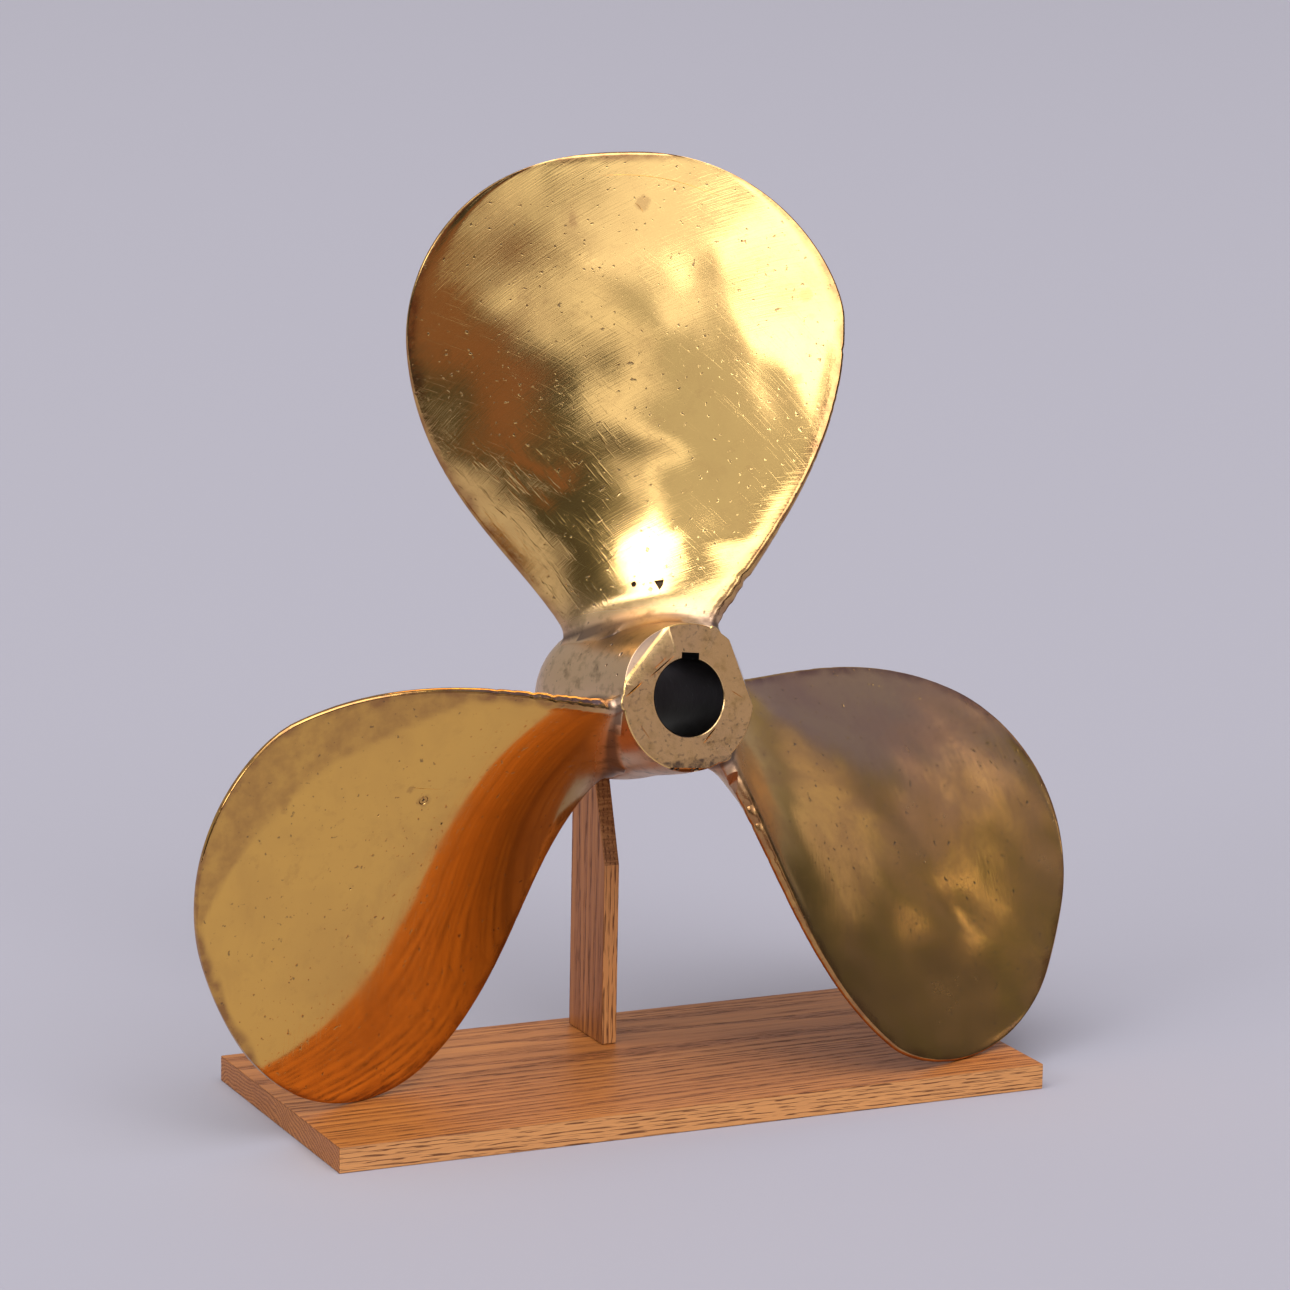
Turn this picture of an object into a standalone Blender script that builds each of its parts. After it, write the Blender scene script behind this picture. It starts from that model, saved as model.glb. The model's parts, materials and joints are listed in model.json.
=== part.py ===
"""A three-bladed bronze ship propeller leaning on the post of its oak display stand. Metres, +Z up.

The origin is the centre of the board's underside, +X runs along the board and -Y is the front.
The propeller is one left-hand casting: hub and blades are joined, then the hub is bored, keyed and dressed.
"""

import math

import bmesh
import bpy
from mathutils import Euler, Matrix, Vector

# Propeller: 30 inches across, its hub bored 1 in 16 for a tapered shaft
TIP_RADIUS = 0.381
PITCH = 0.763
PITCH_GAIN = 0.058
PITCH_RADIUS = 0.7
TOP_BLADE_ANGLE = math.radians(86.9)
BLADE_LINE = -0.064

HUB_LENGTH = 0.1415
HUB_NOSE_RADIUS = 0.0510
HUB_MIDDLE_RADIUS = 0.0570
HUB_REAR_RADIUS = 0.0445
RIM_CHAMFER = 0.001
FACING_ALLOWANCE = 0.0005
FACING_RADIUS = 0.058
BORE_RADIUS = 0.0269
BORE_TAPER = 1 / 32
KEYWAY_WIDTH = 0.0136
KEYWAY_FLOOR = 0.0308
KEYWAY_ANGLE = math.radians(83)

# Each blade's angle from the top one and how far it reaches past the tip radius, as the casting was finished
BLADES = (("top", 0.0, 0.0), ("left", math.radians(119.1), 0.0010), ("right", math.radians(239.6), 0.0026))

# Blade edges: half chord at the root, its rate of growth, the widest place, and how full the tip is
TRAILING_EDGE = {"root": 0.0655, "growth": 0.436, "widest_at": 0.295, "widest": 0.154, "full": 1.69, "round": 2.31}
LEADING_EDGE = {"root": 0.0535, "growth": 0.685, "widest_at": 0.2885, "widest": 0.1645, "full": 2.04, "round": 2.98}
ROOT_RADIUS = 0.058
FOOT_RADIUS = 0.038
ROOT_THICKNESS = 0.026
TIP_THICKNESS = 0.007
ROOT_EDGE = 0.012
TIP_EDGE = 0.0045
EDGE_FADE = 3
BODY_FILLET = 0.016
TRAILING_FILLET = 0.006
LEADING_FILLET = 0.012
TIP_ROUNDING = 0.0025

# How far the edges bend towards the front at the root, and how fast that fades outwards
TRAILING_BEND = 0.0022
LEADING_BEND = 0.0177
BEND_FADE = 4.4

# How the propeller stands: centre of the hub's front face, lean back and turn about the upright
HUB_FACE_CENTRE = Vector((0.0069, -0.0656, 0.2937))
LEAN = math.radians(11.7)
TURN = math.radians(4.1)

# Flats dressed on the rim of the hub's front face: direction, distance from the axis, and slope
RIM_FLATS = (
    (math.radians(134), 0.0431, math.radians(20)),
    (math.radians(17), 0.0441, math.radians(60)),
    (math.radians(-96), 0.0483, math.radians(50)),
)

# Stand: dressed oak
BOARD = Vector((0.535, 0.231, 0.0183))
POST_WIDTH = 0.0115
POST_DEPTH = 0.0582
POST_FRONT = 0.0414
POST_HEIGHT = 0.267
SLOPE_START = 0.132
EASED_EDGE = 0.0008
SEAT_GAP = 0.0003

# Countersunk screws that hold the post from below
SCREW_SPACING = 0.034
SCREW_LENGTH = 0.045
SCREW_RADIUS = 0.002
SCREW_HEAD_RADIUS = 0.004
SCREW_HEAD_DEPTH = 0.0022
SCREW_SLOT = 0.001

BLADE_ROWS = 18
FILLET_ROWS = 7
SECTION_STEPS = 9
HUB_STEPS = 72
SCREW_STEPS = 24


def clear_scene():
    for obj in list(bpy.data.objects):
        bpy.data.objects.remove(obj)


def make_material(name, colour, roughness, metallic):
    material = bpy.data.materials.new(name)
    material.use_nodes = True
    shader = material.node_tree.nodes["Principled BSDF"]
    shader.inputs["Base Color"].default_value = (*colour, 1)
    shader.inputs["Roughness"].default_value = roughness
    shader.inputs["Metallic"].default_value = metallic
    return material


def add_object(name, bm, material=None, parent=None):
    """An object from a bmesh, smooth but for its sharp corners."""
    bmesh.ops.recalc_face_normals(bm, faces=bm.faces)
    mesh = bpy.data.meshes.new(name)
    bm.to_mesh(mesh)
    bm.free()
    mesh.shade_smooth()
    mesh.set_sharp_from_angle(angle=math.radians(35))
    if material:
        mesh.materials.append(material)
    obj = bpy.data.objects.new(name, mesh)
    bpy.context.scene.collection.objects.link(obj)
    obj.parent = parent
    return obj


def combine(obj, helper, operation):
    """Joins a helper shape to the object, or cuts it away, and hides the helper."""
    helper.hide_render = True
    helper.display_type = "WIRE"
    modifier = obj.modifiers.new(helper.name, "BOOLEAN")
    modifier.operation = operation
    modifier.object = helper
    modifier.solver = "EXACT"


def turned(profile, steps):
    """A closed turned body from (radius, height) points, its first and last point on the axis."""
    bm = bmesh.new()
    verts = [bm.verts.new((radius, 0, height)) for radius, height in profile]
    edges = [bm.edges.new(pair) for pair in zip(verts, verts[1:])]
    bmesh.ops.spin(
        bm, geom=verts + edges, cent=(0, 0, 0), axis=(0, 0, 1), angle=math.tau, steps=steps, use_merge=True
    )
    bmesh.ops.remove_doubles(bm, verts=bm.verts, dist=1e-6)
    return bm


def block(size, centre=(0, 0, 0)):
    bm = bmesh.new()
    bmesh.ops.create_cube(bm, size=1)
    bmesh.ops.scale(bm, vec=size, verts=bm.verts)
    bmesh.ops.translate(bm, vec=centre, verts=bm.verts)
    return bm


def loft(rings):
    """A closed skin: a face on the first ring is drawn out through the rest."""
    bm = bmesh.new()
    foot = [bm.verts.new(point) for point in rings[0]]
    face = bm.faces.new(foot)
    for ring in rings[1:]:
        face = bmesh.ops.extrude_discrete_faces(bm, faces=[face])["faces"][0]
        for vert, point in zip(face.verts, ring):
            vert.co = point
    bm.faces.new(foot[::-1])
    return bm


def propeller_matrix():
    """The propeller's own frame: +Z out of the hub's front face, along the shaft, and +Y up."""
    lie = Euler((math.pi / 2 - LEAN, 0, TURN)).to_matrix().to_4x4()
    return Matrix.Translation(HUB_FACE_CENTRE) @ lie


def hub_profile():
    """From the front, as cast with a little to face off, to the rear, the shoulder towards the rear."""
    return (
        (0, FACING_ALLOWANCE),
        (HUB_NOSE_RADIUS - RIM_CHAMFER - FACING_ALLOWANCE, FACING_ALLOWANCE),
        (HUB_NOSE_RADIUS, -RIM_CHAMFER),
        (HUB_NOSE_RADIUS + 0.0018, -0.020),
        (HUB_MIDDLE_RADIUS - 0.0028, -0.058),
        (HUB_MIDDLE_RADIUS - 0.0006, -0.082),
        (HUB_MIDDLE_RADIUS, -0.100),
        (HUB_MIDDLE_RADIUS - 0.0010, -0.115),
        (HUB_MIDDLE_RADIUS - 0.0045, -0.128),
        (HUB_REAR_RADIUS + 0.0050, -HUB_LENGTH + 0.006),
        (HUB_REAR_RADIUS + 0.0018, -HUB_LENGTH + 0.0015),
        (HUB_REAR_RADIUS, -HUB_LENGTH),
        (0, -HUB_LENGTH),
    )


def half_chord(edge, radius):
    """Distance from the blade's middle line to an edge, measured along the helix."""
    reach = edge["widest_at"] - ROOT_RADIUS
    if radius < edge["widest_at"]:
        part = max(radius - ROOT_RADIUS, 0) / reach
        rise = part * part * (3 - 2 * part)
        start = part * (1 - part) ** 2
        return edge["root"] * (1 - rise) + edge["growth"] * reach * start + edge["widest"] * rise
    part = min((radius - edge["widest_at"]) / (TIP_RADIUS - edge["widest_at"]), 0.99999)
    return edge["widest"] * (1 - part ** edge["full"]) ** (1 / edge["round"])


def hub_radius(height):
    """The hub's radius at a height on its own axis, between the points of its profile."""
    points = hub_profile()[1:-1]
    for (radius, above), (next_radius, below) in zip(points, points[1:]):
        if height >= below:
            part = min(max((height - below) / (above - below), 0), 1)
            return next_radius + (radius - next_radius) * part
    return HUB_REAR_RADIUS


def root_fade(radius, power):
    """1 at the root, falling to 0 at the tip."""
    part = (radius - ROOT_RADIUS) / (TIP_RADIUS - ROOT_RADIUS)
    return (1 - max(part, 0)) ** power


def tip_round(radius):
    """Share of the thickness that is left where the tip is rounded over."""
    past = max(radius - (TIP_RADIUS - TIP_ROUNDING), 0) / TIP_ROUNDING
    return math.sqrt(max(1 - past * past, 0.0004))


def helix_slope(radius):
    pitch = PITCH + PITCH_GAIN * (radius / TIP_RADIUS - PITCH_RADIUS)
    return math.atan2(pitch, math.tau * radius)


def fillet(radius, along, size):
    """How far a concave fillet of this size stands out from the blade, at its height above the hub."""
    above = radius - hub_radius(BLADE_LINE + along * math.sin(helix_slope(radius)))
    height = min(max(above, 0), size)
    return size - math.sqrt(size * size - (size - height) ** 2)


def helix_point(angle, radius, along, off):
    """A point on a blade: along the helix towards the trailing edge, and off its middle towards the front."""
    slope = helix_slope(radius)
    turn = angle + (off * math.sin(slope) - along * math.cos(slope)) / radius
    height = BLADE_LINE + along * math.sin(slope) + off * math.cos(slope)
    return Vector((radius * math.cos(turn), radius * math.sin(turn), height))


def blade_section(angle, reach, radius):
    """A ring of points: the flat face, the round leading edge, the crowned back and the trailing edge."""
    edge = tip_round(radius) * (TIP_EDGE + (ROOT_EDGE - TIP_EDGE) * root_fade(radius, EDGE_FADE)) / 2
    crown = tip_round(radius) * (TIP_THICKNESS + (ROOT_THICKNESS - TIP_THICKNESS) * root_fade(radius, 1)) - 2 * edge
    trailing, leading = half_chord(TRAILING_EDGE, radius), half_chord(LEADING_EDGE, radius)
    trailing += fillet(radius, trailing, TRAILING_FILLET)
    leading += fillet(radius, -leading, LEADING_FILLET)
    middle, half = (trailing - leading) / 2, (trailing + leading) / 2 - edge

    ring = []
    for step in range(SECTION_STEPS + 1):
        place = math.cos(math.pi * step / SECTION_STEPS)
        along = middle + half * place
        ring.append((along, edge + fillet(radius, along, BODY_FILLET) * (1 - place * place)))
    bends = [math.radians(degrees) for degrees in (60, 20, -20, -60)]
    ring += [(middle - half - edge * math.cos(bend), edge * math.sin(bend)) for bend in bends]
    for step in range(SECTION_STEPS + 1):
        place = -math.cos(math.pi * step / SECTION_STEPS)
        along = middle + half * place
        ring.append((along, -edge - (crown + fillet(radius, along, BODY_FILLET)) * (1 - place * place)))
    ring += [(middle + half + edge * math.cos(bend), -edge * math.sin(bend)) for bend in bends]

    fade = root_fade(radius, BEND_FADE)
    stretched = radius * (1 + reach / TIP_RADIUS)
    points = []
    for along, off in ring:
        back = (trailing - along) / (trailing + leading)
        bent = off + fade * (TRAILING_BEND + (LEADING_BEND - TRAILING_BEND) * back)
        points.append(helix_point(angle, stretched, along, bent))
    return points


def blade_radii():
    """Stations from the foot inside the hub, through the fillet, to the tip, closest where it curves most."""
    base = HUB_NOSE_RADIUS - 0.0013
    start = HUB_MIDDLE_RADIUS + BODY_FILLET
    blade_steps = [math.sin(math.pi / 2 * row / BLADE_ROWS) for row in range(BLADE_ROWS + 1)]
    return (
        [FOOT_RADIUS]
        + [base + (start - base) * row / FILLET_ROWS for row in range(FILLET_ROWS)]
        + [start + (TIP_RADIUS - start) * step for step in blade_steps]
    )


def make_blade(name, angle, reach, parent):
    rings = [blade_section(angle, reach, radius) for radius in blade_radii()]
    return add_object(name, loft(rings), parent=parent)


def rim_flat(direction, distance, slope):
    """A block whose underside is the flat's plane, falling outwards from a chord of the front face."""
    size = Vector((0.030, 0.080, 0.020))
    bm = block(size, (size.x / 2 - 0.004, 0, size.z / 2))
    tilt = Matrix.Rotation(slope, 4, "Y")
    place = Matrix.Rotation(direction, 4, "Z") @ Matrix.Translation((distance, 0, 0)) @ tilt
    bmesh.ops.transform(bm, matrix=place, verts=bm.verts)
    return bm


def make_propeller(bronze):
    propeller = add_object("propeller", turned(hub_profile(), HUB_STEPS), bronze)
    propeller.matrix_world = propeller_matrix()
    for name, angle, reach in BLADES:
        combine(propeller, make_blade(name + "_blade", TOP_BLADE_ANGLE + angle, reach, propeller), "UNION")

    spare = 0.01
    facing = turned(((0, spare), (FACING_RADIUS, spare), (FACING_RADIUS, 0), (0, 0)), HUB_STEPS)
    combine(propeller, add_object("facing", facing, parent=propeller), "DIFFERENCE")

    rear_radius = BORE_RADIUS + HUB_LENGTH * BORE_TAPER
    nose, rear = BORE_RADIUS - spare * BORE_TAPER, rear_radius + spare * BORE_TAPER
    bore = turned(((0, spare), (nose, spare), (rear, -HUB_LENGTH - spare), (0, -HUB_LENGTH - spare)), HUB_STEPS)
    combine(propeller, add_object("bore", bore, parent=propeller), "DIFFERENCE")

    length = HUB_LENGTH + 2 * spare
    keyway = block((KEYWAY_FLOOR, KEYWAY_WIDTH, length), (KEYWAY_FLOOR / 2, 0, -HUB_LENGTH / 2))
    follow = Matrix.Shear("XY", 4, (-BORE_TAPER, 0))
    turn = Matrix.Rotation(KEYWAY_ANGLE, 4, "Z")
    bmesh.ops.transform(keyway, matrix=turn @ follow, verts=keyway.verts)
    combine(propeller, add_object("keyway", keyway, parent=propeller), "DIFFERENCE")

    for index, flat in enumerate(RIM_FLATS):
        combine(propeller, add_object(f"rim_flat_{index + 1}", rim_flat(*flat), parent=propeller), "DIFFERENCE")
    return propeller


def slope_angle():
    """The post's front leans back just enough to touch the lower rim of the hub's rear end."""
    rim = propeller_matrix() @ Vector((0, -HUB_REAR_RADIUS, -HUB_LENGTH))
    rise = rim.z - BOARD.z - SLOPE_START
    return math.atan2(rim.y + SEAT_GAP + 0.0004 - POST_FRONT, rise)


def screw_places():
    middle = POST_FRONT + POST_DEPTH / 2
    return [Vector((0, middle + side * SCREW_SPACING / 2, 0)) for side in (-1, 1)]


def screw_hole(place):
    """A clearance hole with a countersink at the underside, and a pilot hole for the thread above it."""
    wide, head = SCREW_RADIUS + SEAT_GAP, SCREW_HEAD_RADIUS + SEAT_GAP
    top = SCREW_LENGTH + 0.002
    profile = ((0, -0.001), (head, -0.001), (head, SEAT_GAP), (wide, SEAT_GAP + SCREW_HEAD_DEPTH), (wide, top), (0, top))
    bm = turned(profile, SCREW_STEPS)
    bmesh.ops.translate(bm, vec=place, verts=bm.verts)
    return bm


def make_board(oak):
    board = add_object("base_board", block(BOARD, (0, 0, BOARD.z / 2)), oak)
    ease_edges(board)
    for index, place in enumerate(screw_places()):
        combine(board, add_object(f"board_hole_{index + 1}", screw_hole(place)), "DIFFERENCE")


def make_post(oak):
    foot = BOARD.z + SEAT_GAP
    top = BOARD.z + POST_HEIGHT
    start = BOARD.z + SLOPE_START
    lean = (top - start) * math.tan(slope_angle())
    back = POST_FRONT + POST_DEPTH
    outline = ((POST_FRONT, foot), (back, foot), (back, top), (POST_FRONT + lean, top), (POST_FRONT, start))
    rings = [[(side * POST_WIDTH / 2, y, z) for y, z in outline] for side in (-1, 1)]
    post = add_object("post", loft(rings), oak)
    ease_edges(post)
    for index, place in enumerate(screw_places()):
        combine(post, add_object(f"post_hole_{index + 1}", screw_hole(place)), "DIFFERENCE")


def ease_edges(obj):
    bevel = obj.modifiers.new("eased_edges", "BEVEL")
    bevel.width = EASED_EDGE
    bevel.segments = 2
    bevel.limit_method = "ANGLE"
    bevel.angle_limit = math.radians(30)


def make_screw(name, place, steel):
    """A slotted countersunk wood screw, pointing up."""
    head, under = SEAT_GAP, SEAT_GAP + SCREW_HEAD_DEPTH
    shank = SCREW_LENGTH - 0.005
    profile = ((0, head), (SCREW_HEAD_RADIUS, head), (SCREW_RADIUS, under), (SCREW_RADIUS, shank), (0, SCREW_LENGTH))
    screw = add_object(name, turned(profile, SCREW_STEPS), steel)
    slot = block((3 * SCREW_HEAD_RADIUS, SCREW_SLOT, 2 * SCREW_SLOT), (0, 0, head))
    combine(screw, add_object(name + "_slot", slot, parent=screw), "DIFFERENCE")
    screw.location = place


def main():
    clear_scene()
    bronze = make_material("bronze", (0.60, 0.41, 0.17), 0.28, 1.0)
    board_oak = make_material("board_oak", (0.52, 0.27, 0.11), 0.5, 0.0)
    post_oak = make_material("post_oak", (0.45, 0.21, 0.09), 0.5, 0.0)
    make_propeller(bronze)
    make_board(board_oak)
    make_post(post_oak)
    for name, place in zip(("post_screw_front", "post_screw_rear"), screw_places()):
        make_screw(name, place, make_material(name, (0.55, 0.53, 0.50), 0.35, 1.0))


main()
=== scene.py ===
"""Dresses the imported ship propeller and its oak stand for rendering.

Metres, +Z up, in the frame's own axes: +X along the board, -Y to the front.
The propeller's own axes, used while it is modelled: +Z out of the hub's front face, +Y up, +X to the right.
"""

import json
import math

import bmesh
import bpy
from bpy.props import FloatProperty, FloatVectorProperty, PointerProperty
from mathutils import Matrix, Quaternion, Vector, noise


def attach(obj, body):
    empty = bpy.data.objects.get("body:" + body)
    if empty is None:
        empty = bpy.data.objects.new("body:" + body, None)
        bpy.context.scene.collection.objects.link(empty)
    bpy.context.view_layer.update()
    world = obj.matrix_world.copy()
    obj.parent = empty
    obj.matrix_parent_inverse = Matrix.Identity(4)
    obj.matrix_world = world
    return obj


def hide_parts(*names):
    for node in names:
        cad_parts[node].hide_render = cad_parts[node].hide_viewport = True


bl_info = {
    "name": "Ship Propeller on Stand",
    "version": (1, 0, 0),
    "blender": (4, 5, 0),
    "location": "View3D > Sidebar > Propeller",
    "description": "Models a worn bronze propeller, finishes its oak stand and lights both",
    "category": "Object",
}

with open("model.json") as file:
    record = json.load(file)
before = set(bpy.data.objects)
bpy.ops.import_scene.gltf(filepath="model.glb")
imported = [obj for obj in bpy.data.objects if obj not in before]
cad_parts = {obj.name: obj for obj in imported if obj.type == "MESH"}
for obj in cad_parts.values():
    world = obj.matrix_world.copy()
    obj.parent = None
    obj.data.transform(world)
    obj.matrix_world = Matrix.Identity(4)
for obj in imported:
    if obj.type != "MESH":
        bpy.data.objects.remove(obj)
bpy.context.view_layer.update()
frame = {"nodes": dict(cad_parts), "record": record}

# Where the hub's front face is measured from: the face mount lies off the axis in this direction
FACE_MOUNT_OFFSET = 0.038
FACE_MOUNT_ANGLE = math.radians(200)

# Blades: each one's angle from the top one and how far it reaches past the tip radius
TOP_BLADE_ANGLE = math.radians(86.9)
BLADES = {
    "top": (TOP_BLADE_ANGLE, 0.0),
    "left": (TOP_BLADE_ANGLE + math.radians(119.1), 0.0010),
    "right": (TOP_BLADE_ANGLE + math.radians(239.6), 0.0026),
}

# The helix, and the height of its middle line on the shaft's axis
PITCH_GAIN = 0.058
PITCH_RADIUS = 0.7
BLADE_LINE = -0.064

# Outline: each edge's distance from the middle line at the root and where it is widest, and how it gets there
# and rounds over to the tip
TRAILING_EDGE = {
    "root": 0.0655, "growth": 0.436, "widest_at": 0.295, "widest": 0.154, "full": 1.69, "round": 2.31,
}
LEADING_EDGE = {
    "root": 0.0535, "growth": 0.685, "widest_at": 0.2885, "widest": 0.1645, "full": 2.04, "round": 2.98,
}

# Section from root to tip, its edges, and the fillets into the hub
ROOT_RADIUS = 0.058
FOOT_RADIUS = 0.038
ROOT_THICKNESS = 0.026
TIP_THICKNESS = 0.007
ROOT_EDGE = 0.012
TIP_EDGE = 0.0045
EDGE_FADE = 3
EDGE_SQUARENESS = 2.6
BODY_FILLET = 0.018
TRAILING_FILLET = 0.006
LEADING_FILLET = 0.012
TIP_ROUNDING = 0.0025

# How far each edge is bent to the front at the root, and the power by which that fades outwards
TRAILING_BEND = 0.0022
LEADING_BEND = 0.0177
BEND_FADE = 4.4

# Hub: radii at heights on its axis, from the faced front to the rear
HUB_NOSE_RADIUS = 0.0510
HUB_MIDDLE_RADIUS = 0.0570
HUB_REAR_RADIUS = 0.0445
HUB_LENGTH = 0.1415
RIM_CHAMFER = 0.0008
FACING_ALLOWANCE = 0.0005
FACING_RADIUS = 0.058
BORE_RADIUS = 0.0269
BORE_TAPER = 1 / 32
BORE_CHAMFER = 0.0009
BORE_REACH = 0.0325
KEYWAY_WIDTH = 0.0136
KEYWAY_FLOOR = 0.0308
KEYWAY_ANGLE = math.radians(83)

# Flats dressed in the rim: direction, distance of the chord from the axis, and slope
RIM_FLATS = (
    (math.radians(134), 0.0431, math.radians(20)),
    (math.radians(17), 0.0441, math.radians(60)),
    (math.radians(-96), 0.0483, math.radians(50)),
)
BOTTOM_FLAT = RIM_FLATS[2]

# How each blade is finished: fine grinding marks, depth of yellow, smoky film and hand-ground waves
SATIN = {"top": 1.0, "left": 0.1, "right": 0.9}
DEEP = {"top": 0.0, "left": 1.0, "right": 0.7}
DULL = {"top": 0.0, "left": 0.08, "right": 1.0}
WAVINESS = {"top": 1.0, "left": 0.16, "right": 0.9}

# The hub: how satin, how deep a yellow and how filed it is, its patina, the height up to which a point
# belongs to its skin, and the stain round a blade's root: the height over which it fades, and its strength
HUB_FINISH = (0.6, 0.3, 0.0)
HUB_PATINA = 0.8
HUB_SKIN = 0.0005
ROOT_STAIN = 0.0105
ROOT_STRENGTH = 1.5

# The dark crust on the hub beside the top blade: borders in direction round the shaft and in height
CRUST_START = (1.1, 1.4)
CRUST_END = (2.5, 2.2)
CRUST_FOOT = (-0.075, -0.05)

# Dirt in the pits: its reach as a share of a mark's or a small pit's size, its depth and its strength
MARK_DIRT = 1.6
PIT_DIRT = 1.4
DIRT_DEPTH = (-0.004, -0.0002)
DIRT_STRENGTH = 0.9

# The blades' hand-ground waves: how many to a metre outwards and along, how far apart the blades draw them,
# how much closer and how high the short ones are, and where they start beside the edges and above the root
WAVES_OUT = 13
WAVES_ALONG = 17
WAVES_APART = 5
SHORT_WAVES = 2.7
SHORT_HEIGHT = 0.28
WAVE_MARGIN = 0.10
BACK_MARGIN = 0.12
WAVE_START = (0.062, 0.085)

# Waves that can be made out in each blade's face: radius and along of the middle, half length and half
# width, height towards the front, and how far the wave leans from the radius
DENTS = {
    "top": (
        (0.270, 0.012, 0.026, 0.030, 0.0012, 0.0),
        (0.183, 0.022, 0.016, 0.018, 0.0010, 0.1),
        (0.225, -0.022, 0.024, 0.016, -0.0007, -0.4),
        (0.146, 0.016, 0.034, 0.013, 0.0006, -0.35),
        (0.300, -0.070, 0.035, 0.022, -0.0009, -0.6),
        (0.215, 0.096, 0.030, 0.020, -0.0010, 0.15),
        (0.175, -0.075, 0.030, 0.010, 0.0007, -0.7),
        (0.150, -0.062, 0.024, 0.008, -0.0006, -0.7),
        (0.120, -0.048, 0.022, 0.007, 0.0006, -0.6),
        (0.300, 0.075, 0.035, 0.034, 0.0010, 0.3),
        (0.118, 0.060, 0.014, 0.030, -0.0010, 0.0),
    ),
    "left": (
        (0.300, 0.060, 0.070, 0.040, -0.0004, 0.5),
        (0.220, -0.040, 0.060, 0.040, 0.0003, 0.2),
    ),
    "right": (
        (0.292, 0.020, 0.022, 0.014, -0.0011, 0.3),
        (0.270, 0.050, 0.030, 0.018, 0.0009, 0.2),
        (0.215, -0.020, 0.045, 0.022, -0.0008, 0.0),
        (0.240, -0.095, 0.040, 0.025, 0.0008, 0.0),
        (0.165, 0.035, 0.035, 0.014, 0.0006, 0.2),
    ),
}

# Wear along the edges: bites and patches of bites to a metre, the power by which they fade from the root, the
# share that is left at the tip, and each edge's share at the root and its seed
BITES = 240
BITE_PATCHES = 24
BITE_FADE = 2.2
BITE_REST = 0.14
BITE_SHARE = {"trailing": 1.3, "leading": 0.35}
BITE_SEED = {"trailing": 17, "leading": 0}

# Single nicks: radius, half length and depth
NICKS = {
    ("top", "trailing"): ((0.0925, 0.0035, 0.0022), (0.086, 0.0022, 0.0012), (0.273, 0.0022, 0.0011)),
    ("left", "trailing"): ((0.104, 0.003, 0.0014), (0.121, 0.002, 0.0012), (0.150, 0.0025, 0.0009)),
    ("right", "trailing"): ((0.088, 0.003, 0.0013), (0.101, 0.002, 0.0013), (0.126, 0.002, 0.0010)),
}

# Pits and punch marks in the blades: radius, along, size and depth
PITS = (
    ("top", 0.080, 0.001, 0.0019, 0.0022),
    ("left", 0.196, 0.044, 0.0011, 0.0007),
    ("left", 0.184, 0.016, 0.0010, 0.0010),
    ("left", 0.231, 0.052, 0.0007, 0.0006),
    ("left", 0.262, 0.010, 0.0007, 0.0006),
    ("top", 0.325, 0.079, 0.0007, 0.0007),
    ("right", 0.255, -0.005, 0.0008, 0.0008),
    ("right", 0.160, -0.030, 0.0008, 0.0008),
)

# The chip beside the punch mark, and its corners as shares of its size
CHIP = ("top", 0.079, 0.0195, 0.0042, 0.0018)
CHIP_CORNERS = ((0.25, -1.0), (0.75, -0.2), (0.9, 0.7), (-0.8, 0.5))

# The ring mark: radius, along and size, its groove's half width and depth, its height over its width, and the
# part of the circle that it takes up
RING_MARK = ("left", 0.196, 0.044, 0.0029)
RING_GROOVE = (0.0010, 0.0009)
RING_HEIGHT = 1.15
RING_START = math.radians(20)
RING_SWEEP = math.radians(320)

# Shares of a mark's size: its mouth and its floor, how uneven a pit is, and a groove's width at its ends
MOUTH_SHARE = 1.25
FLOOR_SHARE = 0.7
PIT_UNEVENNESS = 0.35
GROOVE_END = 0.12

# Stains on the blades: radius, along and reach
STAINS = (
    ("left", 0.196, 0.044, 0.0062),
    ("left", 0.205, 0.058, 0.0040),
    ("left", 0.300, 0.100, 0.0070),
    ("top", 0.345, 0.010, 0.0065),
    ("top", 0.335, -0.040, 0.0055),
    ("top", 0.240, 0.115, 0.0050),
    ("top", 0.300, 0.125, 0.0060),
)

# The left blade is browner past this line: its distance from the middle line, and where and how it turns in
BROWN_BORDER = 0.110
BROWN_TURN = 0.250
BROWN_CURVE = 3.9
BROWN_DEPTH = 0.58

# The worn band along the blades' edges: its soft border, how far and how finely it wanders, and how much
# farther away the tip counts than the sides
EDGE_BAND = (0.002, 0.0115)
EDGE_WANDER = 0.005
EDGE_GRAIN = 70
TIP_SHARE = 1.3

# The backs' own patina and dullness, and where the top blade is filed, from one radius to another and from
# one distance along to another
BACK_PATINA = 0.45
BACK_DULLNESS = 0.8
FILED_RADII = (0.24, 0.17)
FILED_ALONG = (0.0, -0.03)

# Gouges in the hub's front face, from one point to another, and their half width
FACE_GOUGES = (
    ((-0.0490, 0.0047), (-0.0353, 0.0138), 0.0014),
    ((-0.0294, 0.0164), (-0.0097, 0.0291), 0.0011),
    ((-0.0262, 0.0212), (-0.0150, 0.0291), 0.0008),
    ((0.0101, -0.0301), (0.0194, -0.0219), 0.0011),
    ((0.0080, -0.0325), (0.0150, -0.0270), 0.0007),
    ((0.0330, 0.0020), (0.0420, -0.0040), 0.0005),
    ((-0.0400, -0.0150), (-0.0330, -0.0260), 0.0005),
)

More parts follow.
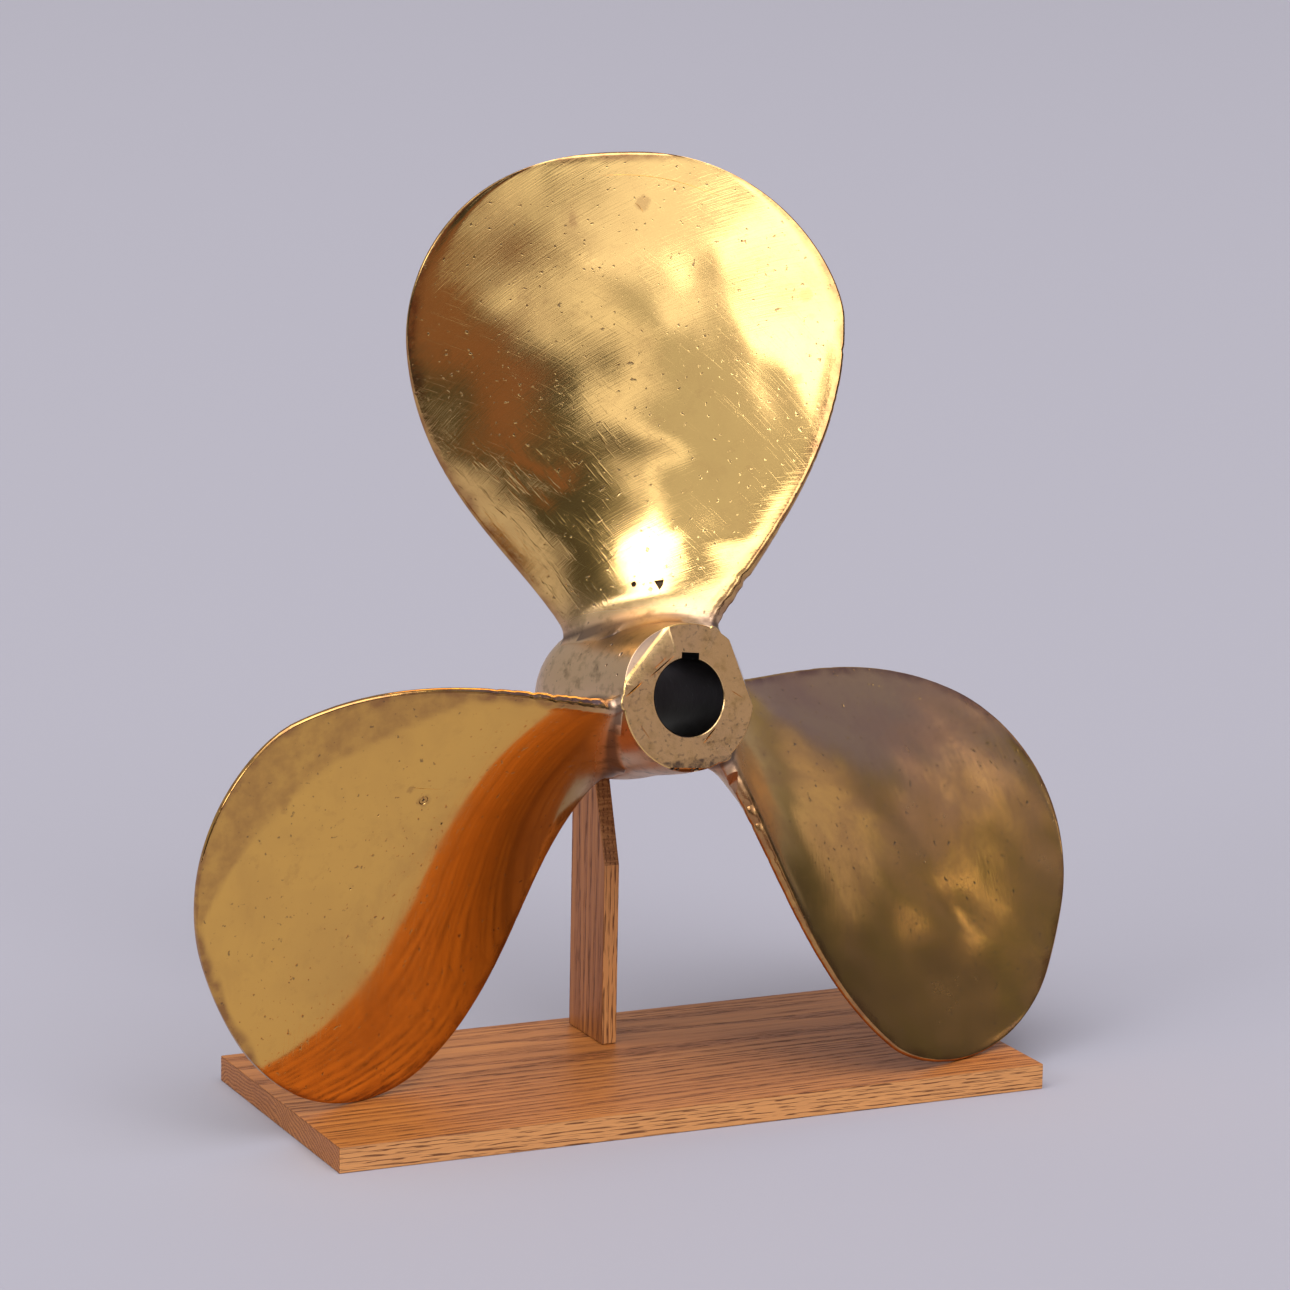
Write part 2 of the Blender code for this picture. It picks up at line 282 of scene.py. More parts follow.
# Long scratches: from one (radius, along) to another, how far they sag, and half their width
SCRATCHES = (
    ("top", (0.365, -0.022), (0.352, 0.070), 0.004, 0.00035),
    ("top", (0.345, 0.004), (0.338, 0.010), 0.001, 0.00045),
    ("left", (0.205, 0.060), (0.181, 0.045), 0.001, 0.00035),
)

# Pits in the hub's side: direction, height and size
HUB_PITS = (
    (2.45, -0.018, 0.0016),
    (2.62, -0.030, 0.0011),
    (2.30, -0.040, 0.0013),
    (2.75, -0.012, 0.0009),
    (0.05, -0.012, 0.0022),
    (-0.05, -0.020, 0.0012),
)

# Pits in the flat at the bottom of the rim: down the slope, along the chord, and size
FLAT_PITS = (
    (0.0019, 0.0070, 0.0019),
    (0.0015, 0.0030, 0.0010),
    (0.0017, -0.0080, 0.0013),
    (0.0016, -0.0120, 0.0017),
)

# How finely the shapes are divided, and the angle past which an edge is sharp
BLADE_ROWS = 148
FILLET_ROWS = 10
SIDE_STEPS = 50
EDGE_STEPS = 8
HUB_STEPS = 144
HUB_ROWS = 44
PIT_STEPS = 12
SCRATCH_STEPS = 10
GOUGE_STEPS = 6
SHARP_ANGLE = math.radians(38)


def colour_property(name, description, default):
    return FloatVectorProperty(name=name, description=description, default=default, subtype="COLOR", size=3)


def length_property(name, description, default):
    return FloatProperty(name=name, description=description, default=default, unit="LENGTH")


class BronzeSettings(bpy.types.PropertyGroup):
    """Size and finish of the propeller casting."""

    tip_radius: length_property("Tip Radius", "From the shaft's axis to a blade's tip", 0.381)
    pitch: length_property("Pitch", "Pitch at seven tenths of the radius", 0.763)
    ripple: length_property("Ripple", "Depth of the hand-ground waves in the blades", 0.0011)
    nick_depth: length_property("Nick Depth", "Depth of the nicks along the blades' edges", 0.0016)
    polished: colour_property("Polished", "Bright worn bronze", (0.90, 0.58, 0.20))
    deep: colour_property("Deep", "Deeper yellow of the lower blades", (0.90, 0.525, 0.125))
    tarnish: colour_property("Tarnish", "Brown film on the blades", (0.36, 0.17, 0.07))
    film: colour_property("Film", "Smoky film on the dull blade", (0.62, 0.345, 0.13))
    # Real grime in pits, mottles and the crust; the same colour also paints shade on the rim's flats,
    # darkening them as if they reflected less light
    grime_and_flat_shade: colour_property("Grime", "Dark dirt in the hub's skin", (0.115, 0.078, 0.058))
    # Painted shade: this near-black colour fills the bore's wall, standing in for the shade inside it; it
    # also colours the dirt in the pits
    bore: colour_property("Bore", "Dull dark bore", (0.014, 0.009, 0.006))
    patina: colour_property("Patina", "Grey-brown skin of the hub", (0.73, 0.50, 0.335))


class OakSettings(bpy.types.PropertyGroup):
    """Colours of the oak stand."""

    pale: colour_property("Summer Wood", "Pale wood between the rings", (0.61, 0.235, 0.054))
    dark: colour_property("Spring Wood", "Darker porous wood", (0.32, 0.098, 0.020))
    # Painted light: faces turned to the front are blended halfway towards this paler colour, as if lit more
    # from the front
    edge: colour_property("Edge", "Paler planed edge at the front", (0.95, 0.47, 0.17))
    pore: colour_property("Pores", "Open pores and rays", (0.10, 0.028, 0.008))


class StudioSettings(bpy.types.PropertyGroup):
    """Floor and light."""

    floor: colour_property("Floor", "Pale paper sweep", (0.377, 0.361, 0.397))
    backdrop: colour_property("Backdrop", "Seen above the floor", (0.575, 0.56, 0.62))
    brightness: FloatProperty(
        name="Brightness", description="Strength of the whole studio", default=1.0, min=0.0
    )


def settings():
    return bpy.context.scene.stand_propeller


def axes_at(origin, across, up, out):
    """A matrix whose X, Y and Z are these directions, at this place."""
    return Matrix.Translation(origin) @ Matrix((across, up, out)).transposed().to_4x4()


def propeller_matrix():
    """Places the propeller's own axes in the frame, from the mount on the hub's front face."""
    mount = next(item for item in frame["record"]["mounts"] if item["name"] == "hub_front_face")
    axis = Vector(mount["axis"]).normalized()
    across = Vector((0, 0, 1)).cross(axis).normalized()
    up = axis.cross(across)
    offset = across * math.cos(FACE_MOUNT_ANGLE) + up * math.sin(FACE_MOUNT_ANGLE)
    return axes_at(Vector(mount["pos_m"]) - FACE_MOUNT_OFFSET * offset, across, up, axis)


def smooth(low, high, value):
    """0 below low, 1 above high, and an even curve between."""
    part = min(max((value - low) / (high - low), 0), 1)
    return part * part * (3 - 2 * part)


def hub_points():
    """The hub's outline as cast, as (radius, height) from front to rear."""
    return (
        (HUB_NOSE_RADIUS, -RIM_CHAMFER),
        (HUB_NOSE_RADIUS + 0.0018, -0.020),
        (HUB_MIDDLE_RADIUS - 0.0028, -0.058),
        (HUB_MIDDLE_RADIUS - 0.0006, -0.082),
        (HUB_MIDDLE_RADIUS, -0.100),
        (HUB_MIDDLE_RADIUS - 0.0010, -0.115),
        (HUB_MIDDLE_RADIUS - 0.0045, -0.128),
        (HUB_REAR_RADIUS + 0.0050, -HUB_LENGTH + 0.006),
        (HUB_REAR_RADIUS + 0.0018, -HUB_LENGTH + 0.0015),
        (HUB_REAR_RADIUS, -HUB_LENGTH),
    )


def hub_radius(height):
    """The hub's radius at a height, along a smooth curve through its points."""
    points = hub_points()
    if height >= points[0][1]:
        return points[0][0]
    last = len(points) - 1
    for index in range(last):
        radius, above = points[index]
        next_radius, below = points[index + 1]
        if height >= below:
            part = (height - above) / (below - above)
            before_radius, before = points[max(index - 1, 0)]
            after_radius, after = points[min(index + 2, last)]
            leave = (next_radius - before_radius) / (below - before) * (below - above)
            arrive = (after_radius - radius) / (after - above) * (below - above)
            square, cube = part * part, part ** 3
            return (
                radius * (2 * cube - 3 * square + 1)
                + leave * (cube - 2 * square + part)
                + next_radius * (3 * square - 2 * cube)
                + arrive * (cube - square)
            )
    return HUB_REAR_RADIUS


def half_chord(edge, radius):
    """Distance from the blade's middle line to an edge, measured along the helix."""
    reach = edge["widest_at"] - ROOT_RADIUS
    if radius < edge["widest_at"]:
        part = max(radius - ROOT_RADIUS, 0) / reach
        rise = part * part * (3 - 2 * part)
        start = part * (1 - part) ** 2
        return edge["root"] * (1 - rise) + edge["growth"] * reach * start + edge["widest"] * rise
    part = min((radius - edge["widest_at"]) / (settings().bronze.tip_radius - edge["widest_at"]), 0.99999)
    return edge["widest"] * (1 - part ** edge["full"]) ** (1 / edge["round"])


def half_chords(radius):
    return half_chord(TRAILING_EDGE, radius), half_chord(LEADING_EDGE, radius)


def root_fade(radius, power):
    """1 at the root, falling to 0 at the tip."""
    part = (radius - ROOT_RADIUS) / (settings().bronze.tip_radius - ROOT_RADIUS)
    return (1 - min(max(part, 0), 1)) ** power


def tip_round(radius):
    """Share of the thickness that is left where the tip is rounded over."""
    past = max(radius - (settings().bronze.tip_radius - TIP_ROUNDING), 0) / TIP_ROUNDING
    return math.sqrt(max(1 - past * past, 0.0004))


def helix_slope(radius):
    bronze = settings().bronze
    pitch = bronze.pitch + PITCH_GAIN * (radius / bronze.tip_radius - PITCH_RADIUS)
    return math.atan2(pitch, math.tau * radius)


def fillet(radius, along, size):
    """How far a concave fillet of this size stands out from the blade, at its height above the hub."""
    above = radius - hub_radius(BLADE_LINE + along * math.sin(helix_slope(radius)))
    height = min(max(above, 0), size)
    return size - math.sqrt(size * size - (size - height) ** 2)


def helix_point(angle, radius, along, off):
    """A point on a blade: along the helix towards the trailing edge, and off its middle towards the front."""
    slope = helix_slope(radius)
    turn = angle + (off * math.sin(slope) - along * math.cos(slope)) / radius
    height = BLADE_LINE + along * math.sin(slope) + off * math.cos(slope)
    return Vector((radius * math.cos(turn), radius * math.sin(turn), height))


def bend_at(radius, back):
    """How far the section is bent to the front, from 0 at the trailing edge to 1 at the leading one."""
    return root_fade(radius, BEND_FADE) * (TRAILING_BEND + (LEADING_BEND - TRAILING_BEND) * back)


def ripple(name, side, radius, along):
    """Waves left by hand grinding: long ones, and short ones that come and go."""
    here = Vector((radius * WAVES_OUT, along * WAVES_ALONG, WAVES_APART * BLADES[name][0] + side))
    long_waves = noise.noise(here)
    short_waves = noise.noise(here * SHORT_WAVES) * SHORT_HEIGHT
    return settings().bronze.ripple * WAVINESS[name] * (long_waves + short_waves)


def dents(name, radius, along):
    """The waves that can be made out one by one, as soft hollows and swellings."""
    depth = 0.0
    for place, middle, long_half, wide_half, height, lean in DENTS[name]:
        out, side = radius - place, along - middle
        out, side = out * math.cos(lean) + side * math.sin(lean), side * math.cos(lean) - out * math.sin(lean)
        depth += height * math.exp(-((out / long_half) ** 2) - (side / wide_half) ** 2)
    return depth


def nick(name, side, radius):
    """Bites out of an edge: noise that is deeper towards the root, and single nicks."""
    seed = 31 * BLADES[name][0] + BITE_SEED[side]
    bite = noise.noise(Vector((radius * BITES, seed, 1.7)))
    patch = smooth(-0.15, 0.3, noise.noise(Vector((radius * BITE_PATCHES, seed, 5.2))))
    worn = BITE_REST + root_fade(radius, BITE_FADE) * BITE_SHARE[side]
    depth = settings().bronze.nick_depth * worn * patch * max(bite + 0.05, 0)
    for place, half, deep in NICKS.get((name, side), ()):
        depth += deep * max(1 - abs(radius - place) / half, 0) ** 0.8
    return depth


def edge_profile():
    """A squared round edge from face to back, as (outwards, sideways) shares of its half thickness."""
    points = []
    for step in range(1, EDGE_STEPS + 1):
        turn = math.pi * (step / (EDGE_STEPS + 1) - 0.5)
        across, side = math.cos(turn), -math.sin(turn)
        reach = abs(across) ** EDGE_SQUARENESS + abs(side) ** EDGE_SQUARENESS
        size = reach ** (-1 / EDGE_SQUARENESS)
        points.append((across * size, side * size))
    return points


def face_height(name, radius, along, place):
    """How far the blade's face stands off its helix, the place being -1 at one edge and 1 at the other."""
    edge = edge_half(radius)
    bulge = fillet(radius, along, BODY_FILLET) * (1 - place * place)
    waves = ripple(name, 0, radius, along) + dents(name, radius, along)
    return edge + bulge + waves * smooth(0, WAVE_MARGIN, 1 - abs(place)) * smooth(*WAVE_START, radius)


def edge_half(radius):
    return tip_round(radius) * (TIP_EDGE + (ROOT_EDGE - TIP_EDGE) * root_fade(radius, EDGE_FADE)) / 2


def reaches(name, radius):
    """How far the section reaches from the middle line to its trailing and leading edge."""
    trailing, leading = half_chords(radius)
    trailing += fillet(radius, trailing, TRAILING_FILLET) - nick(name, "trailing", radius)
    leading += fillet(radius, -leading, LEADING_FILLET) - nick(name, "leading", radius)
    return trailing, leading


def blade_point(name, radius, along, off):
    """A point on a blade in the propeller's axes, with the root's bend and the blade's own reach."""
    angle, reach = BLADES[name]
    trailing, leading = half_chords(radius)
    back = (trailing - along) / (trailing + leading)
    own_radius = radius * (1 + reach / settings().bronze.tip_radius)
    return helix_point(angle, own_radius, along, off + bend_at(radius, back))


def blade_section(name, radius):
    """A ring of points: the flat face, the leading edge, the crowned back and the trailing edge."""
    edge = edge_half(radius)
    thickness = TIP_THICKNESS + (ROOT_THICKNESS - TIP_THICKNESS) * root_fade(radius, 1)
    crown = tip_round(radius) * thickness - 2 * edge
    trailing, leading = reaches(name, radius)
    middle, half = (trailing - leading) / 2, (trailing + leading) / 2 - edge

    ring = []
    for step in range(SIDE_STEPS + 1):
        share = step / SIDE_STEPS
        place = 0.5 * math.cos(math.pi * share) + 0.5 * (1 - 2 * share)
        along = middle + half * place
        ring.append((along, face_height(name, radius, along, place)))
    ring += [(middle - half - edge * out, edge * side) for out, side in edge_profile()]
    for step in range(SIDE_STEPS + 1):
        share = step / SIDE_STEPS
        place = -0.5 * math.cos(math.pi * share) - 0.5 * (1 - 2 * share)
        along = middle + half * place
        bulge = (crown + fillet(radius, along, BODY_FILLET)) * (1 - place * place)
        wave = ripple(name, 40, radius, along) * smooth(0, BACK_MARGIN, 1 - abs(place))
        ring.append((along, -edge - bulge + wave))
    ring += [(middle + half + edge * out, -edge * side) for out, side in edge_profile()]
    return [blade_point(name, radius, along, off) for along, off in ring]


def blade_radii():
    """Stations from the foot inside the hub, through the fillet, to the tip, closest where it curves most."""
    base, start = HUB_NOSE_RADIUS - 0.0013, HUB_MIDDLE_RADIUS + BODY_FILLET
    tip = settings().bronze.tip_radius
    fillet_rows = [base + (start - base) * row / FILLET_ROWS for row in range(FILLET_ROWS)]
    rows = [start + (tip - start) * math.sin(math.pi / 2 * row / BLADE_ROWS) for row in range(BLADE_ROWS + 1)]
    return [FOOT_RADIUS] + fillet_rows + rows


def loft(rings):
    """A closed skin: a face on the first ring is drawn out through the rest."""
    bm = bmesh.new()
    foot = [bm.verts.new(point) for point in rings[0]]
    face = bm.faces.new(foot)
    for ring in rings[1:]:
        face = bmesh.ops.extrude_discrete_faces(bm, faces=[face])["faces"][0]
        for vert, point in zip(face.verts, ring):
            vert.co = point
    bm.faces.new(foot[::-1])
    return bm


def turned(profile):
    """A closed turned body from (radius, height) points, its first and last point on the axis."""
    bm = bmesh.new()
    verts = [bm.verts.new((radius, 0, height)) for radius, height in profile]
    edges = [bm.edges.new(pair) for pair in zip(verts, verts[1:])]
    bmesh.ops.spin(
        bm, geom=verts + edges, cent=(0, 0, 0), axis=(0, 0, 1),
        angle=math.tau, steps=HUB_STEPS, use_merge=True,
    )
    bmesh.ops.remove_doubles(bm, verts=bm.verts, dist=1e-6)
    return bm


def block(size, centre):
    bm = bmesh.new()
    bmesh.ops.create_cube(bm, size=1)
    bmesh.ops.scale(bm, vec=size, verts=bm.verts)
    bmesh.ops.translate(bm, vec=centre, verts=bm.verts)
    return bm


def add_object(name, bm):
    """An object from a bmesh, its normals facing out."""
    bmesh.ops.recalc_face_normals(bm, faces=bm.faces)
    mesh = bpy.data.meshes.new(name)
    bm.to_mesh(mesh)
    bm.free()
    obj = bpy.data.objects.new(name, mesh)
    bpy.context.scene.collection.objects.link(obj)
    return obj


def combine(obj, bm, operation):
    """Joins a shape to the object, or cuts it away, and keeps the result as the object's mesh."""
    helper = add_object("helper", bm)
    modifier = obj.modifiers.new("combine", "BOOLEAN")
    modifier.operation = operation
    modifier.object = helper
    modifier.solver = "EXACT"
    graph = bpy.context.evaluated_depsgraph_get()
    result = bpy.data.meshes.new_from_object(obj.evaluated_get(graph))
    obj.modifiers.clear()
    old, obj.data = obj.data, result
    bpy.data.meshes.remove(old)
    bpy.data.meshes.remove(helper.data)


def hub_profile():
    rows = [-RIM_CHAMFER + (RIM_CHAMFER - HUB_LENGTH) * row / HUB_ROWS for row in range(HUB_ROWS + 1)]
    rim = HUB_NOSE_RADIUS - RIM_CHAMFER - FACING_ALLOWANCE
    outline = [(hub_radius(height), height) for height in rows]
    return [(0, FACING_ALLOWANCE), (rim, FACING_ALLOWANCE)] + outline + [(0, -HUB_LENGTH)]


def rim_flat(direction, distance, slope):
    """A block whose underside is the flat's plane, falling outwards from a chord of the front face."""
    size = Vector((0.030, 0.080, 0.020))
    bm = block(size, (size.x / 2 - 0.004, 0, size.z / 2))
    bmesh.ops.transform(bm, matrix=flat_place(direction, distance, slope), verts=bm.verts)
    return bm


def flat_place(direction, distance, slope):
    """A rim flat's own axes: X down its slope, Y along its chord and Z out of it."""
    tilt = Matrix.Rotation(slope, 4, "Y")
    return Matrix.Rotation(direction, 4, "Z") @ Matrix.Translation((distance, 0, 0)) @ tilt


def make_casting():
    """The hub and its three blades as one casting, then faced, bored, keyed and dressed at the rim."""
    casting = add_object("propeller_casting", turned(hub_profile()))
    for name in BLADES:
        combine(casting, loft([blade_section(name, radius) for radius in blade_radii()]), "UNION")

    spare = 0.01
    facing = ((0, spare), (FACING_RADIUS, spare), (FACING_RADIUS, 0), (0, 0))
    combine(casting, turned(facing), "DIFFERENCE")

    mouth = BORE_RADIUS + BORE_CHAMFER
    rear = BORE_RADIUS + (HUB_LENGTH + spare) * BORE_TAPER
    outline = (
        (0, spare), (mouth + spare, spare), (mouth, 0), (BORE_RADIUS, -BORE_CHAMFER),
        (rear, -HUB_LENGTH - spare), (0, -HUB_LENGTH - spare),
    )
    combine(casting, turned(outline), "DIFFERENCE")

    length = HUB_LENGTH + 2 * spare
    keyway = block((KEYWAY_FLOOR, KEYWAY_WIDTH, length), (KEYWAY_FLOOR / 2, 0, -HUB_LENGTH / 2))
    follow = Matrix.Shear("XY", 4, (-BORE_TAPER, 0))
    turn = Matrix.Rotation(KEYWAY_ANGLE, 4, "Z")
    bmesh.ops.transform(keyway, matrix=turn @ follow, verts=keyway.verts)
    combine(casting, keyway, "DIFFERENCE")
    for flat in RIM_FLATS:
        combine(casting, rim_flat(*flat), "DIFFERENCE")
    combine(casting, make_marks(), "DIFFERENCE")
    return casting


def spot_matrix(name, radius, along):
    """A place on a blade's face, its Z standing straight off the face and X along the blade."""
    trailing, leading = half_chords(radius)
    place = (2 * along - trailing + leading) / (trailing + leading)

    def on_face(out, side):
        spot = (name, radius + out, along + side)
        return blade_point(*spot, face_height(*spot, place))

    step = 0.002
    middle = on_face(0, 0)
    across = (on_face(0, step) - on_face(0, -step)).normalized()
    normal = across.cross(on_face(step, 0) - on_face(-step, 0)).normalized()
    return axes_at(middle, across, normal.cross(across), normal)


def hub_spot(direction, height):
    """A place on the hub's side, its Z standing straight out."""
    out = Matrix.Rotation(direction, 4, "Z") @ Matrix.Translation((hub_radius(height), 0, height))
    return out @ Matrix.Rotation(math.pi / 2, 4, "Y")


def flat_spot(down, across):
    """A place in the flat at the bottom of the rim."""
    return flat_place(*BOTTOM_FLAT) @ Matrix.Translation((down, across, 0))


def punch(outline, depth):
    """A cutter for a shallow hole with this outline, narrower at its floor."""
    bm = bmesh.new()
    top = [bm.verts.new((MOUTH_SHARE * x, MOUTH_SHARE * y, depth * 0.5)) for x, y in outline]
    face = bm.faces.new(top)
    lower = bmesh.ops.extrude_discrete_faces(bm, faces=[face])["faces"][0]
    for vert, (x, y) in zip(lower.verts, outline):
        vert.co = (FLOOR_SHARE * x, FLOOR_SHARE * y, -depth)
    bm.faces.new(top[::-1])
    return bm


def round_outline(radius, seed):
    """An uneven round outline."""
    points = []
    for step in range(PIT_STEPS):
        turn = math.tau * step / PIT_STEPS
        uneven = PIT_UNEVENNESS * noise.noise(Vector((math.cos(turn), math.sin(turn), seed)))
        size = radius * (1 + uneven)
        points.append((size * math.cos(turn), size * math.sin(turn)))
    return points


def groove(points, normal, width, depth):
    """A cutter for a V-shaped groove that follows the points and runs out at both ends."""
    rings = []
    last = len(points) - 1
    for index, point in enumerate(points):
        ahead = (points[min(index + 1, last)] - points[max(index - 1, 0)]).normalized()
        side = ahead.cross(normal).normalized()
        belly = math.sin(math.pi * (index + 0.15) / (last + 0.3)) ** 0.6
        swell = GROOVE_END + (1 - GROOVE_END) * belly
        top = point + normal * depth
        rings.append((
            top + side * width * swell, top - side * width * swell, point - normal * depth * swell,
        ))
    return loft(rings)


def make_marks():
    """Every pit, chip, punch mark and gouge of the casting, as one cutter."""
    marks = bmesh.new()

    def keep(bm, matrix=None):
        if matrix:
            bmesh.ops.transform(bm, matrix=matrix, verts=bm.verts)
        bmesh.ops.recalc_face_normals(bm, faces=bm.faces)
        mesh = bpy.data.meshes.new("mark")
        bm.to_mesh(mesh)
        bm.free()
        marks.from_mesh(mesh)
        bpy.data.meshes.remove(mesh)

    for index, (name, radius, along, size, depth) in enumerate(PITS):
        keep(punch(round_outline(size, index), depth), spot_matrix(name, radius, along))
    name, radius, along, size, depth = CHIP
    corners = [(size * x, size * y) for x, y in CHIP_CORNERS]
    keep(punch(corners, depth), spot_matrix(name, radius, along))
    name, radius, along, size = RING_MARK
    spot = spot_matrix(name, radius, along)
    arc = [RING_START + RING_SWEEP * step / SCRATCH_STEPS for step in range(SCRATCH_STEPS + 1)]
    ring = [spot @ Vector((size * math.cos(turn), RING_HEIGHT * size * math.sin(turn), 0)) for turn in arc]
    keep(groove(ring, spot.col[2].to_3d(), *RING_GROOVE))
    for (x, y), (end_x, end_y), width in FACE_GOUGES:
        start, end = Vector((x, y, 0)), Vector((end_x, end_y, 0))
        path = [start.lerp(end, step / GOUGE_STEPS) for step in range(GOUGE_STEPS + 1)]
        keep(groove(path, Vector((0, 0, 1)), width, width))
    for name, start, end, sag, width in SCRATCHES:
        path = []
        for step in range(SCRATCH_STEPS + 1):
            share = step / SCRATCH_STEPS
            radius = start[0] + (end[0] - start[0]) * share + sag * math.sin(math.pi * share)
            path.append(spot_matrix(name, radius, start[1] + (end[1] - start[1]) * share))
        normal = (path[0].col[2].to_3d() + path[-1].col[2].to_3d()).normalized()
        keep(groove([place.translation for place in path], normal, width, 0.6 * width))
    for index, (direction, height, size) in enumerate(HUB_PITS):
        keep(punch(round_outline(size, 20 + index), 0.5 * size), hub_spot(direction, height))
    for index, (down, across, size) in enumerate(FLAT_PITS):
        keep(punch(round_outline(size, 40 + index), 0.6 * size), flat_spot(down, across))
    return marks


def blade_place(point, name):
    """Where a point of the casting lies on a blade: radius, along and off, and the reach to both edges."""
    angle, reach = BLADES[name]
    radius = math.hypot(point.x, point.y) / (1 + reach / settings().bronze.tip_radius)
    turn = math.remainder(math.atan2(point.y, point.x) - angle, math.tau)
    slope = helix_slope(radius)
    height = point.z - BLADE_LINE
    along = height * math.sin(slope) - turn * radius * math.cos(slope)
    off = turn * radius * math.sin(slope) + height * math.cos(slope)
    return radius, along, off, *half_chords(radius)


def wear_at(point):
    """What the bronze reads at a point: its patina, edge wear, dullness and dirt, its place for the grinding
    marks, and how satin, how deep a yellow and how filed it is."""
    radius = math.hypot(point.x, point.y)
    turn = math.atan2(point.y, point.x)
    above = radius - hub_radius(point.z)
    if above < HUB_SKIN:
        crust = smooth(*CRUST_START, turn) * smooth(*CRUST_END, turn) * smooth(*CRUST_FOOT, point.z)
        worn = (HUB_PATINA + (1 - HUB_PATINA) * crust, 0.0, 0.0, 0.0)
        return worn, (turn * radius, point.z, 3.0), HUB_FINISH

    def apart(name):
        _, along, off, trailing, leading = blade_place(point, name)
        return abs(off) + max(along - trailing, -along - leading, 0)

    name = min(BLADES, key=apart)
    radius, along, off, trailing, leading = blade_place(point, name)
    back = (trailing - along) / (trailing + leading)
    off -= bend_at(radius, back)
    gap = min(trailing - along, along + leading, TIP_SHARE * (settings().bronze.tip_radius - radius))
    uneven = gap + EDGE_WANDER * noise.noise(point * EDGE_GRAIN)
    edge = 1 - smooth(*EDGE_BAND, uneven)
    if name == "left":
        border = BROWN_BORDER - BROWN_CURVE * max(radius - BROWN_TURN, 0) ** 2
        edge = max(edge, BROWN_DEPTH * smooth(-0.002, 0.003, along - border))
    root = min(ROOT_STRENGTH * math.exp(-above / ROOT_STAIN), 1)
    behind = 1.0 if off < 0 and gap > 0.003 else 0.0
    filed = smooth(*FILED_RADII, radius) * smooth(*FILED_ALONG, along) if name == "top" else 0.0
    worn = (max(root, BACK_PATINA * behind), edge, max(DULL[name], BACK_DULLNESS * behind), 0.0)
    return worn, (along, radius, BLADES[name][0]), (SATIN[name], DEEP[name], filed)


def paint_wear(mesh):
    """Writes each point's wear and place as attributes that the bronze reads."""
    kinds = {"wear": "FLOAT_COLOR", "skin": "FLOAT_VECTOR", "finish": "FLOAT_VECTOR", "cast": "FLOAT_VECTOR"}
    for name, kind in kinds.items():
        mesh.attributes.new(name, kind, "POINT")
    wear, skin, finish, cast = (mesh.attributes[name] for name in kinds)
    marks = [(spot_matrix(*mark[:3]), MARK_DIRT * mark[3]) for mark in (*PITS, CHIP, RING_MARK)]
    marks += [(flat_spot(down, across), PIT_DIRT * size) for down, across, size in FLAT_PITS]
    marks += [(hub_spot(direction, height), PIT_DIRT * size) for direction, height, size in HUB_PITS]
    dirty = [(place.inverted(), reach) for place, reach in marks]
    for vert, worn, place, kind, own in zip(mesh.vertices, wear.data, skin.data, finish.data, cast.data):
        worn.color, place.vector, kind.vector = wear_at(vert.co)
        own.vector = vert.co
        for inverse, reach in dirty:
            below = inverse @ vert.co
            if below.xy.length < reach and DIRT_DEPTH[0] < below.z < DIRT_DEPTH[1]:
                worn.color = (1.0, 0.0, 0.0, DIRT_STRENGTH)


